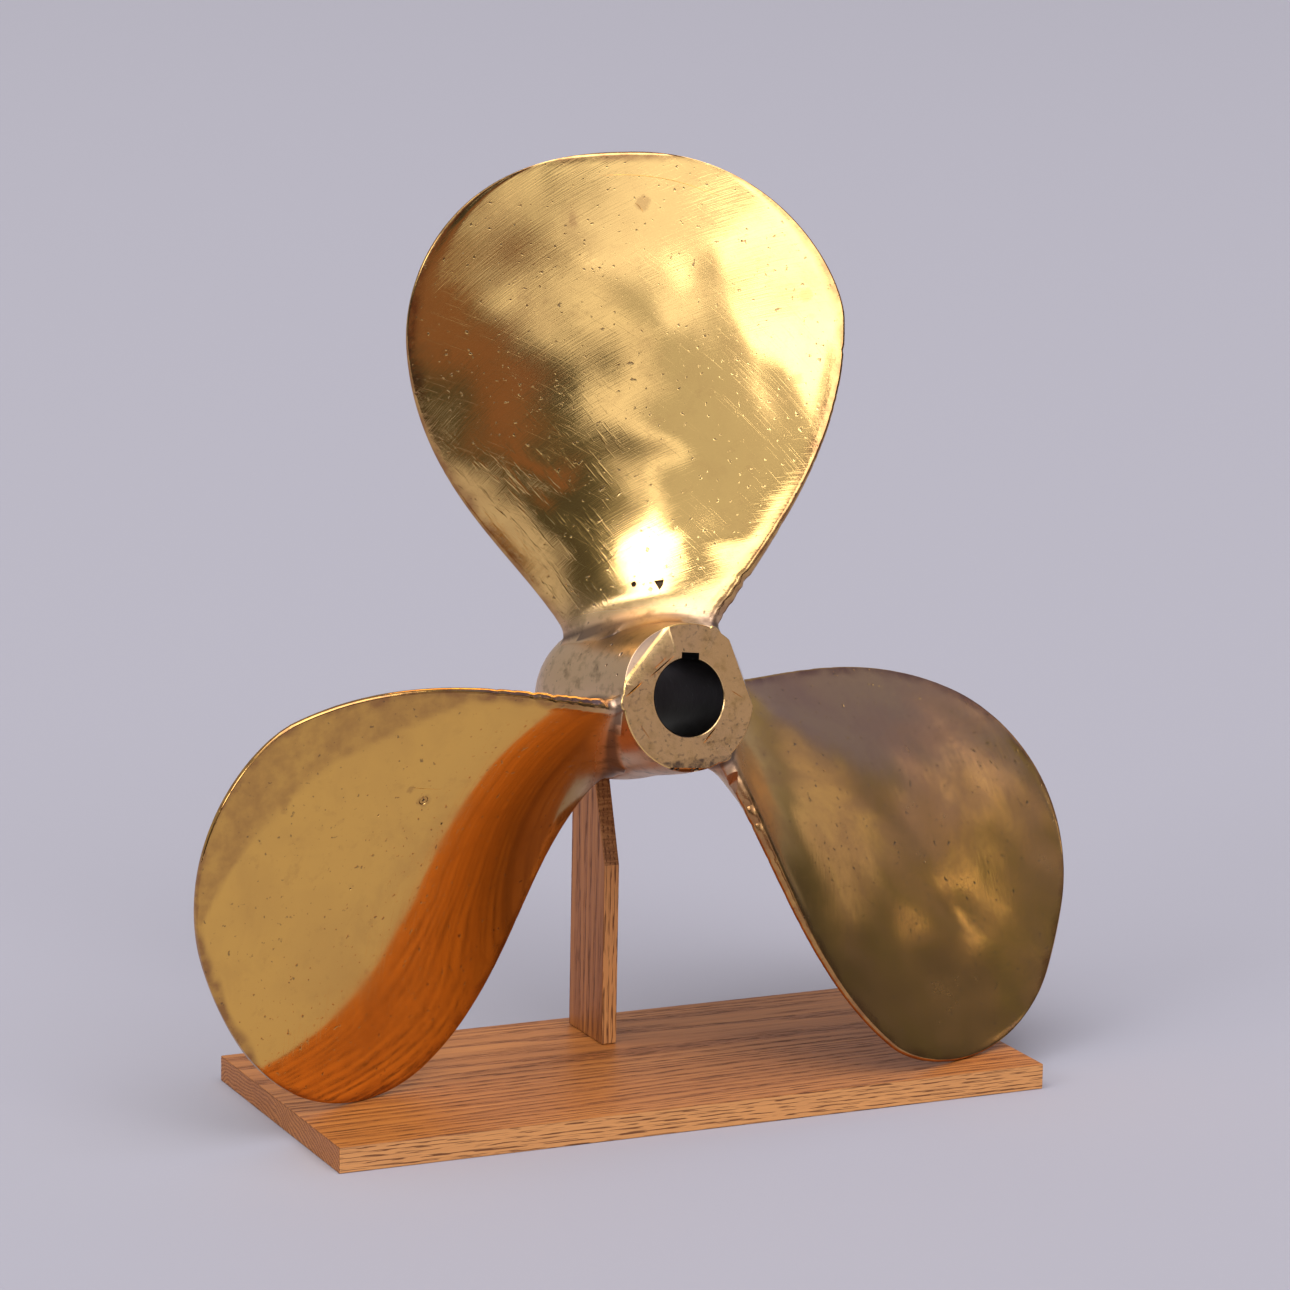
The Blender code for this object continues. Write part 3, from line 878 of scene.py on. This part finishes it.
class NodeMaker:
    """Adds nodes to a tree and wires them as they are made."""

    def __init__(self, tree):
        self.tree = tree

    def put(self, socket, value):
        """Wires a socket to another node's output, or gives it a value."""
        if isinstance(value, bpy.types.NodeSocket):
            self.tree.links.new(value, socket)
        else:
            socket.default_value = value

    def node(self, kind, values=None, **options):
        made = self.tree.nodes.new(kind)
        for key, value in options.items():
            setattr(made, key, value)
        for key, value in (values or {}).items():
            self.put(made.inputs[key], value)
        return made

    def attribute(self, name):
        return self.node("ShaderNodeAttribute", attribute_name=name).outputs

    def axes(self, vector):
        return self.node("ShaderNodeSeparateXYZ", {"Vector": vector}).outputs

    def object_coordinates(self, scale=(1, 1, 1), turn=(0, 0, 0), move=(0, 0, 0)):
        place = self.node("ShaderNodeTexCoord").outputs["Object"]
        values = {"Vector": place, "Location": move, "Rotation": turn, "Scale": scale}
        return self.node("ShaderNodeMapping", values).outputs["Vector"]

    def placed(self, vector, scale, turn):
        """A vector turned about Z, then scaled."""
        made = self.node("ShaderNodeMapping", {"Vector": vector, "Rotation": (0, 0, turn)})
        values = {0: made.outputs["Vector"], 1: scale}
        return self.node("ShaderNodeVectorMath", values, operation="MULTIPLY").outputs["Vector"]

    def noise(self, vector, scale, detail=3.0, roughness=0.5, distortion=0.0):
        values = {"Vector": vector, "Scale": scale, "Detail": detail}
        values.update({"Roughness": roughness, "Distortion": distortion})
        return self.node("ShaderNodeTexNoise", values).outputs["Fac"]

    def ramp(self, value, *stops):
        """A value through a colour ramp with (place, grey) stops."""
        made = self.node("ShaderNodeValToRGB", {"Fac": value})
        elements = made.color_ramp.elements
        while len(elements) < len(stops):
            elements.new(0.5)
        for element, (place, grey) in zip(elements, stops):
            element.position = place
            element.color = (grey, grey, grey, 1)
        return made.outputs["Color"]

    def between(self, value, low, high):
        """0 at low and 1 at high, which may be the smaller, with an even curve between."""
        limits = {"Value": value, "From Min": low, "From Max": high}
        return self.node("ShaderNodeMapRange", limits, interpolation_type="SMOOTHSTEP").outputs["Result"]

    def math(self, operation, first, second=0.0, clamp=False):
        made = self.node("ShaderNodeMath", {0: first, 1: second}, operation=operation, use_clamp=clamp)
        return made.outputs[0]

    def times(self, first, *others):
        for other in others:
            first = self.math("MULTIPLY", first, other)
        return first

    def plus(self, first, *others):
        for other in others:
            first = self.math("ADD", first, other)
        return first

    def rest(self, value):
        """What the value leaves of 1."""
        return self.math("SUBTRACT", 1.0, value)

    def blend(self, factor, first, second):
        made = self.node("ShaderNodeMix", {0: factor}, data_type="RGBA")
        for key, value in (("A", first), ("B", second)):
            socket = next(item for item in made.inputs if item.name == key and item.type == "RGBA")
            self.put(socket, value if isinstance(value, bpy.types.NodeSocket) else (*value, 1))
        return next(item for item in made.outputs if item.type == "RGBA")

    def bump(self, height, strength, distance):
        values = {"Height": height, "Strength": strength, "Distance": distance}
        return self.node("ShaderNodeBump", values).outputs["Normal"]


class MaterialMaker(NodeMaker):
    """A new material whose Principled shader is fed by name."""

    def __init__(self, name):
        self.material = bpy.data.materials.new(name)
        self.material.use_nodes = True
        super().__init__(self.material.node_tree)
        self.shader = self.tree.nodes["Principled BSDF"]

    def feed(self, **sockets):
        for name, value in sockets.items():
            self.put(self.shader.inputs[name.replace("_", " ").title().replace("Ior", "IOR")], value)


# Soft borders of the hub's machined surfaces, from one value to another: heights on the shaft's axis,
# distances from it, and for the foot of the face its place on the casting's own +Y
FACE_HEIGHTS = (-0.0010, -0.0005)
FACE_REACH = (0.056, 0.052)
FOOT_BORDER = (-0.0415, -0.0435)
BRINK_TOP = (0.0, -0.0002)
BRINK_FOOT = (-0.0011, -0.0006)
BRINK_INSIDE = (0.033, 0.036)
BRINK_REACH = (0.0535, 0.0525)
# Borders of the rim's flats, whose mask paints shade on them
FLAT_TOP = (-0.0003, -0.0007)
FLAT_FOOT = (-0.012, -0.010)
FLAT_INSIDE = (0.035, 0.036)
FLAT_REACH = (0.0508, 0.0504)
HUB_SWELL = 0.09
# Borders of the bore's wall, which is coloured near-black as painted shade
BORE_WALL = (BORE_REACH, BORE_REACH - 0.0004)
BORE_TOP = (-0.0003, -0.0006)
BORE_FOOT = (-HUB_LENGTH, -HUB_LENGTH + 0.0008)


class BronzeMaker(MaterialMaker):
    """The casting's bronze, which reads its wear and the casting's own axes from the mesh."""

    def __init__(self, colours):
        super().__init__("worn_bronze")
        self.colours = colours
        worn = self.attribute("wear")
        channels = self.node("ShaderNodeSeparateColor", {"Color": worn["Color"]}).outputs
        self.patina, self.edge, self.dull, self.dirt_and_painted_shade = channels[0], channels[1], channels[2], worn["Alpha"]
        self.skin, self.cast = self.attribute("skin")["Vector"], self.attribute("cast")["Vector"]
        finish = self.axes(self.attribute("finish")["Vector"])
        self.satin, self.deep, self.filed = finish["X"], finish["Y"], finish["Z"]
        self.clouds = self.noise(self.cast, 11, 4, 0.62, 0.5)
        self.fine = self.noise(self.cast, 80, 4, 0.62)
        self.pits = self.ramp(self.noise(self.cast, 260, 2), (0.255, 1), (0.325, 0))
        self.find_hub_surfaces()

    def find_hub_surfaces(self):
        """Masks for the faced front, its pitted foot and sharp rims, the rim's flats and the bore; the flats
        and the bore also carry painted shade.
        """
        place = self.axes(self.cast)
        height = place["Z"]
        square = self.plus(self.math("POWER", place["X"], 2), self.math("POWER", place["Y"], 2))
        self.from_axis = self.math("SQRT", square)
        front, inner = self.between(height, *FACE_HEIGHTS), self.between(self.from_axis, *FACE_REACH)
        self.faced = self.times(front, inner)
        self.foot = self.times(self.faced, self.between(place["Y"], *FOOT_BORDER))
        self.brink = self.times(
            self.between(height, *BRINK_FOOT), self.between(height, *BRINK_TOP),
            self.between(self.from_axis, *BRINK_INSIDE), self.between(self.from_axis, *BRINK_REACH),
        )
        # Painted shade: the rim's flats are darkened in colour, as if they reflected less light
        rim = self.plus(self.from_axis, self.times(height, HUB_SWELL))
        self.flat = self.times(
            self.between(rim, *FLAT_REACH), self.between(self.from_axis, *FLAT_INSIDE),
            self.between(height, *FLAT_TOP), self.between(height, *FLAT_FOOT),
        )
        # Painted shade: a mask of the bore's wall, which is coloured near-black as if in shade
        wall = self.plus(self.from_axis, self.times(height, BORE_TAPER))
        bore = self.times(
            self.between(wall, *BORE_WALL), self.between(height, *BORE_TOP), self.between(height, *BORE_FOOT)
        )
        unfaced = self.rest(self.faced)
        # The bore's painted shade joins the dirt in the pits, darkening and roughening both
        self.dirt_and_painted_shade = self.math("MAXIMUM", self.times(self.dirt_and_painted_shade, unfaced), bore)
        self.patina = self.times(self.patina, self.rest(self.times(self.faced, 0.45)))
        self.edge, self.dull = self.times(self.edge, unfaced), self.times(self.dull, unfaced)

    def blades(self):
        """The blades' colour, yellow under brown film and smoky patches, and how thick the film is."""
        blotches = self.ramp(self.clouds, (0.47, 0), (0.70, 1))
        specks = self.ramp(self.fine, (0.60, 0), (0.70, 1))
        smudges = self.ramp(self.noise(self.cast, 26, 5, 0.7, 0.4), (0.52, 0), (0.66, 1))
        film = self.plus(self.times(blotches, 0.20), self.times(specks, 0.15), self.times(smudges, 0.12))
        metal = self.blend(self.deep, self.colours.polished, self.colours.deep)
        colour = self.blend(film, metal, self.colours.tarnish)
        smoky = self.times(self.dull, self.ramp(self.clouds, (0.36, 0.25), (0.58, 0.9)))
        film = self.math("ADD", film, self.times(smoky, 0.6), clamp=True)
        return self.blend(smoky, colour, self.colours.film), film

    def stained(self, colour):
        """Brown stains with ragged borders over a colour."""
        ragged = self.times(self.math("SUBTRACT", self.fine, 0.5), 0.016)
        for name, radius, along, reach in STAINS:
            middle = spot_matrix(name, radius, along).translation
            near = self.node("ShaderNodeVectorMath", {0: self.cast, 1: middle}, operation="DISTANCE")
            stain = self.between(self.plus(near.outputs["Value"], ragged), reach, 0.35 * reach)
            colour = self.blend(self.times(stain, 0.42), colour, self.colours.tarnish)
        return colour

    def worn_over(self, colour):
        """Rubbed edges, the cast crust, pits, stains, polished rims and dirt over the blades' colour, with
        painted shade darkening the rim's flats and the bore.
        """
        tones = self.colours
        rubbed = self.times(self.edge, self.ramp(self.fine, (0.35, 0.5), (0.6, 1)), 0.88)
        colour = self.blend(rubbed, colour, tones.tarnish)
        crust = self.blend(self.ramp(self.fine, (0.50, 0.10), (0.70, 0.75)), tones.patina, tones.grime_and_flat_shade)
        crust = self.blend(self.times(self.between(self.patina, HUB_PATINA, 1.0), 0.75), crust, tones.grime_and_flat_shade)
        thick = self.times(self.patina, self.ramp(self.clouds, (0.30, 0.75), (0.55, 1)))
        colour = self.blend(thick, colour, crust)
        mottles = self.ramp(self.noise(self.cast, 300, 3), (0.34, 1), (0.43, 0))
        mottles = self.times(mottles, self.faced, self.ramp(self.clouds, (0.40, 0.2), (0.58, 1)))
        holes = self.ramp(self.noise(self.cast, 190, 3, 0.6), (0.40, 0.85), (0.58, 0.2))
        rotten = self.times(self.foot, holes)
        # Real pits, mottles and rotten holes darken to grime; on the flats the same colour is painted shade
        for mask, share in ((self.pits, 0.6), (self.flat, 0.8), (mottles, 0.5), (rotten, 1.0)):
            colour = self.blend(self.times(mask, share), colour, tones.grime_and_flat_shade)
        colour = self.blend(self.times(self.brink, 0.85), self.stained(colour), tones.polished)
        # Dirt in the pits and painted shade in the bore, both in the near-black bore colour
        return self.blend(self.dirt_and_painted_shade, colour, tones.bore)

    def relief(self):
        """The normal: grinding marks, scratches, file strokes, lathe rings, pits and the rough cast skin."""
        hatch = self.noise(self.placed(self.skin, (45, 1900, 1), -0.42), 1, 1)
        cross = self.noise(self.placed(self.skin, (26, 1900, 1), 0.62), 1, 1)
        scratches = self.plus(self.times(hatch, self.satin), self.ramp(cross, (0.25, 0), (0.33, 0.22)))
        strokes = self.noise(self.placed(self.skin, (48, 400, 1), 0.95), 1, 2)
        strokes = self.times(self.ramp(strokes, (0.56, 0), (0.74, 1)), self.filed)
        outward = self.node("ShaderNodeCombineXYZ", {"X": self.from_axis}).outputs["Vector"]
        rings = self.noise(outward, 1700, 2)
        height = self.plus(
            self.times(scratches, 0.20), self.times(self.pits, -0.5), self.times(strokes, 0.38),
            self.times(rings, self.faced, 0.22), self.times(self.fine, self.patina, 1.6),
            self.times(self.noise(self.cast, 230, 2), self.edge, 0.7),
        )
        return self.bump(height, 0.55, 0.0003)

    def roughness(self, film):
        crusted = self.math("MAXIMUM", self.patina, self.dirt_and_painted_shade)
        rough = self.plus(self.times(self.satin, 0.045), self.times(film, 0.22), self.times(crusted, 0.30))
        return self.plus(self.times(rough, self.rest(self.times(self.flat, 0.75))), 0.055)


def bronze_material(colours):
    make = BronzeMaker(colours)
    colour, film = make.blades()
    colour, rough = make.worn_over(colour), make.roughness(film)
    make.feed(base_color=colour, metallic=1.0, roughness=rough, normal=make.relief())
    return make.material


def toned(colour, share):
    return tuple(share * value for value in colour)


def oak_material(name, colours, grain, rings_from, tone=1.0):
    """Oak whose grain runs along an axis, 0 for X and 2 for Z, its rings round a line beside the piece."""
    make = MaterialMaker(name)
    pale, dark = toned(colours.pale, tone), toned(colours.dark, tone)

    def drawn_out(across, along):
        """A scale with one value across the grain and another along it."""
        return tuple(along if axis == grain else across for axis in range(3))

    def grained(across, along, *shape):
        return make.noise(make.object_coordinates(drawn_out(across, along)), 1, *shape)

    flat = drawn_out(1, 0)
    moved = make.object_coordinates(flat, move=tuple(-value * keep for value, keep in zip(rings_from, flat)))
    distance = make.node("ShaderNodeVectorMath", {0: moved}, operation="LENGTH").outputs["Value"]
    rings = make.plus(make.times(distance, 330), make.times(grained(11, 0.66, 3, 0.55), 13))
    spring = make.ramp(make.math("FRACT", rings), (0.0, 1), (0.45, 0.35), (0.62, 0), (0.90, 0.05), (1.0, 1))
    streaks = grained(360, 9, 3, 0.6)
    dashes = make.ramp(grained(1500, 60, 1, 0.4), (0.50, 0), (0.565, 1))
    pores = make.times(dashes, make.ramp(spring, (0.15, 0.1), (0.6, 1)))
    bands = make.ramp(grained(42, 1.6, 3, 0.6), (0.42, 0), (0.60, 1))

    middle = tuple(0.5 * (light + deep) for light, deep in zip(pale, dark))
    colour = make.blend(make.noise(make.object_coordinates((3, 9, 9)), 1, 2), pale, middle)
    colour = make.blend(make.times(spring, 0.75), colour, dark)
    colour = make.blend(make.times(make.ramp(streaks, (0.38, 0), (0.62, 1)), 0.45), colour, dark)
    colour = make.blend(make.times(bands, 0.3), colour, dark)
    # Painted light: faces turned to the front are made paler and more orange, as if lit more from the front
    facing = make.axes(make.node("ShaderNodeNewGeometry").outputs["Normal"])
    front = make.between(make.times(facing["Y"], -1.0), 0.6, 0.9)
    colour = make.blend(front, colour, make.blend(0.5, colour, colours.edge))
    # Partly painted shade: faces that slope upwards are darkened as a whole, as if less lit, with real
    # saw-mark streaks across them
    sloping = make.times(make.between(facing["Z"], 0.15, 0.25), make.between(facing["Z"], 0.6, 0.5))
    saw_marks = make.noise(make.object_coordinates((90, 90, 620), (0.5, 0.5, 0)), 1, 1)
    slope_shade_and_saw_marks = make.times(sloping, make.ramp(saw_marks, (0.40, 0.80), (0.62, 0.50)))
    colour = make.blend(slope_shade_and_saw_marks, colour, toned(dark, 0.55))
    colour = make.blend(make.times(pores, 0.85), colour, colours.pore)

    normal = make.bump(make.math("SUBTRACT", make.times(streaks, 0.25), pores), 0.35, 0.00025)
    rough = make.plus(make.times(pores, 0.2), 0.42)
    make.feed(base_color=colour, roughness=rough, normal=normal, specular_ior_level=0.35)
    return make.material


CLEAN_STEEL = (0.50, 0.49, 0.47)
DULL_STEEL = (0.33, 0.31, 0.29)


def steel_material():
    make = MaterialMaker("screw_steel")
    spots = make.noise(make.object_coordinates(), 900, 3)
    colour = make.blend(make.ramp(spots, (0.4, 0), (0.7, 1)), CLEAN_STEEL, DULL_STEEL)
    rough = make.plus(make.times(spots, 0.2), 0.28)
    make.feed(base_color=colour, metallic=1.0, roughness=rough, normal=make.bump(spots, 0.2, 0.0001))
    return make.material


class STAND_OT_studio(bpy.types.Operator):
    """Adds the camera, the paper floor and the lights"""

    bl_idname = "stand_propeller.studio"
    bl_label = "Set Up Studio"

    def execute(self, context):
        add_camera()
        add_floor(settings().studio)
        add_world(settings().studio)
        for name, box in SOFT_BOXES.items():
            add_soft_box(name, *box)
        context.scene.view_settings.view_transform = "Standard"
        return {"FINISHED"}


class STAND_OT_propeller(bpy.types.Operator):
    """Models the propeller casting in worn bronze"""

    bl_idname = "stand_propeller.propeller"
    bl_label = "Model Propeller"

    def execute(self, context):
        casting = make_casting()
        paint_wear(casting.data)
        casting.data.transform(propeller_matrix())
        casting.data.shade_smooth()
        casting.data.set_sharp_from_angle(angle=SHARP_ANGLE)
        casting.data.materials.append(bronze_material(settings().bronze))
        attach(casting, "root")
        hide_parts("propeller")
        return {"FINISHED"}


class STAND_OT_oak_stand(bpy.types.Operator):
    """Finishes the board and the post in oiled oak"""

    bl_idname = "stand_propeller.oak_stand"
    bl_label = "Finish Oak Stand"

    def execute(self, context):
        oak = settings().oak
        dress("base_board", oak_material("board_oak", oak, 0, (0, 0.05, -0.22)))
        dress("post", oak_material("post_oak", oak, 2, (0.16, 0.03, 0), 0.85))
        return {"FINISHED"}


class STAND_OT_screws(bpy.types.Operator):
    """Finishes the two screws under the board in plain steel"""

    bl_idname = "stand_propeller.screws"
    bl_label = "Finish Screws"

    def execute(self, context):
        steel = steel_material()
        dress("post_screw_front", steel)
        dress("post_screw_rear", steel)
        return {"FINISHED"}


def dress(node, material):
    """Gives a carried-over node its material, in every slot."""
    obj = frame["nodes"][node]
    if not obj.data.materials:
        obj.data.materials.append(material)
    for slot in obj.material_slots:
        slot.material = material


# Camera, as the photograph was taken
CAMERA_PLACE = Vector((-1.39372, -2.99441, 0.99791))
CAMERA_YAW = math.radians(25.01)
CAMERA_PITCH = math.radians(11.63)
CAMERA_ROLL = math.radians(1.07)
CAMERA_LENS = 135.31
SENSOR_WIDTH = 36.0


def add_camera():
    data = bpy.data.cameras.new("camera")
    data.lens = CAMERA_LENS
    data.sensor_width = SENSOR_WIDTH
    data.clip_end = 100
    camera = bpy.data.objects.new("camera", data)
    look = Vector((
        math.sin(CAMERA_YAW) * math.cos(CAMERA_PITCH),
        math.cos(CAMERA_YAW) * math.cos(CAMERA_PITCH),
        -math.sin(CAMERA_PITCH),
    ))
    level = Vector((math.cos(CAMERA_YAW), -math.sin(CAMERA_YAW), 0))
    above = level.cross(look)
    right = level * math.cos(CAMERA_ROLL) + above * math.sin(CAMERA_ROLL)
    up = above * math.cos(CAMERA_ROLL) - level * math.sin(CAMERA_ROLL)
    camera.matrix_world = axes_at(CAMERA_PLACE, right, up, -look)
    bpy.context.scene.collection.objects.link(camera)
    bpy.context.scene.camera = camera


STUDIO_MIDDLE = Vector((0, 0, 0.35))

# The paper floor: how far it reaches to the left, right, front and back
FLOOR_LEFT = -9.0
FLOOR_RIGHT = 24.0
FLOOR_FRONT = -2.1
FLOOR_BACK = 40.0

# Soft boxes and panels as the object sees them: azimuth (0 in front, 90 to the right) and elevation of
# the middle, half width and half height, all in degrees, then brightness and how far the left end is raised
SOFT_BOXES = {
    "overhead_box": (-40, 73, 34, 22, (2.85, 2.85, 3.0)),
    "front_box": (5, 42, 16, 16, (2.6, 2.6, 2.8)),
    "left_box": (-72, 27, 13, 8, (5.0, 5.0, 5.3)),
    "low_strip": (-36, 18.5, 24, 3.5, (0.75, 0.75, 0.83), 16),
    "front_low": (-5, 19, 10, 6, (0.80, 0.82, 0.95)),
    "low_glow": (-9, 9.6, 5, 3.3, (0.55, 0.55, 0.60)),
    "front_panel": (-38, 33, 24, 14, (0.24, 0.25, 0.28)),
    "right_panel": (65.5, 35, 3.2, 4.5, (0.56, 0.46, 0.42)),
    "right_spot": (72.5, 25, 3, 2.5, (0.95, 0.76, 0.56)),
    "side_panel": (98, 24, 10, 9, (0.36, 0.31, 0.31)),
    "cool_panel": (84, 47, 26, 11, (0.01, 0.03, 0.40)),
    "face_panel": (32, 8, 13, 10, (0.36, 0.31, 0.36)),
    "warm_room": (-17, 0, 22, 5, (0.16, 0.05, 0.02)),
}
BOX_DISTANCE = 90.0
ROOM_GLOW = ((0.0, 0.07), (0.18, 0.09), (0.26, 0.34), (0.75, 0.42))
RIGHT_GLOW = ((0.0, 0.05), (0.16, 0.085), (0.5, 0.17), (0.8, 0.22))
BACK_GLOW = 0.42


def add_floor(studio):
    bm = bmesh.new()
    bmesh.ops.create_grid(bm, x_segments=2, y_segments=2, size=0.5)
    bmesh.ops.scale(bm, vec=(FLOOR_RIGHT - FLOOR_LEFT, FLOOR_BACK - FLOOR_FRONT, 1), verts=bm.verts)
    middle = ((FLOOR_RIGHT + FLOOR_LEFT) / 2, (FLOOR_BACK + FLOOR_FRONT) / 2, 0)
    bmesh.ops.translate(bm, vec=middle, verts=bm.verts)
    floor = add_object("paper_floor", bm)
    make = MaterialMaker("paper")
    make.feed(base_color=(*studio.floor, 1), roughness=0.8)
    floor.data.materials.append(make.material)


def add_soft_box(name, azimuth, elevation, half_width, half_height, brightness, slant=0):
    """A rectangular light that fills the given angles and gives off the same brightness all over."""
    data = bpy.data.lights.new(name, "AREA")
    data.shape = "RECTANGLE"
    data.size = 2 * BOX_DISTANCE * math.tan(math.radians(half_width))
    data.size_y = 2 * BOX_DISTANCE * math.tan(math.radians(half_height))
    strongest = max(brightness)
    data.color = [value / strongest for value in brightness]
    data.energy = math.pi * data.size * data.size_y * strongest * settings().studio.brightness
    turn, rise = math.radians(azimuth), math.radians(elevation)
    out = Vector((math.sin(turn) * math.cos(rise), -math.cos(turn) * math.cos(rise), math.sin(rise)))
    light = bpy.data.objects.new(name, data)
    light.location = STUDIO_MIDDLE + out * BOX_DISTANCE
    facing = out.to_track_quat("Z", "Y") @ Quaternion((0, 0, 1), math.radians(-slant))
    light.rotation_euler = facing.to_euler()
    light.visible_camera = False
    bpy.context.scene.collection.objects.link(light)


def add_world(studio):
    """The room round the boxes: dark at the front up to a little over the horizon, pale behind the object."""
    world = bpy.data.worlds.new("studio_room")
    world.use_nodes = True
    bpy.context.scene.world = world
    make = NodeMaker(world.node_tree)
    direction = make.node("ShaderNodeTexCoord").outputs["Generated"]
    parts = make.axes(direction)
    front, right = make.ramp(parts["Z"], *ROOM_GLOW), make.ramp(parts["Z"], *RIGHT_GLOW)
    colour = make.blend(make.ramp(parts["X"], (0.3, 0), (0.6, 1)), front, right)
    colour = make.blend(make.ramp(parts["Y"], (0.25, 0), (0.6, 1)), colour, (BACK_GLOW,) * 3)
    seen = make.node("ShaderNodeLightPath").outputs["Is Camera Ray"]
    colour = make.blend(seen, colour, studio.backdrop)
    background = make.tree.nodes["Background"]
    make.put(background.inputs["Color"], colour)
    make.put(background.inputs["Strength"], studio.brightness)


class STAND_PT_panel(bpy.types.Panel):
    """Lists the steps and the settings of the model"""

    bl_idname = "STAND_PT_panel"
    bl_label = "Ship Propeller"
    bl_space_type = "VIEW_3D"
    bl_region_type = "UI"
    bl_category = "Propeller"

    def draw(self, context):
        for step in STEPS:
            self.layout.operator(step.bl_idname)
        for group in (settings().bronze, settings().oak, settings().studio):
            for name in group.__annotations__:
                self.layout.prop(group, name)


class PropellerSettings(bpy.types.PropertyGroup):
    """Everything a user can set."""

    bronze: PointerProperty(type=BronzeSettings, name="Bronze", description="Propeller casting")
    oak: PointerProperty(type=OakSettings, name="Oak", description="Stand")
    studio: PointerProperty(type=StudioSettings, name="Studio", description="Floor and lights")


STEPS = (STAND_OT_studio, STAND_OT_propeller, STAND_OT_oak_stand, STAND_OT_screws)
CLASSES = (BronzeSettings, OakSettings, StudioSettings, PropellerSettings, *STEPS, STAND_PT_panel)


def register():
    for cls in CLASSES:
        bpy.utils.register_class(cls)
    bpy.types.Scene.stand_propeller = PointerProperty(type=PropellerSettings)


def unregister():
    del bpy.types.Scene.stand_propeller
    for cls in reversed(CLASSES):
        bpy.utils.unregister_class(cls)


def main():
    register()
    bpy.ops.stand_propeller.studio()
    bpy.ops.stand_propeller.propeller()
    bpy.ops.stand_propeller.oak_stand()
    bpy.ops.stand_propeller.screws()


if __name__ == "__main__":
    main()
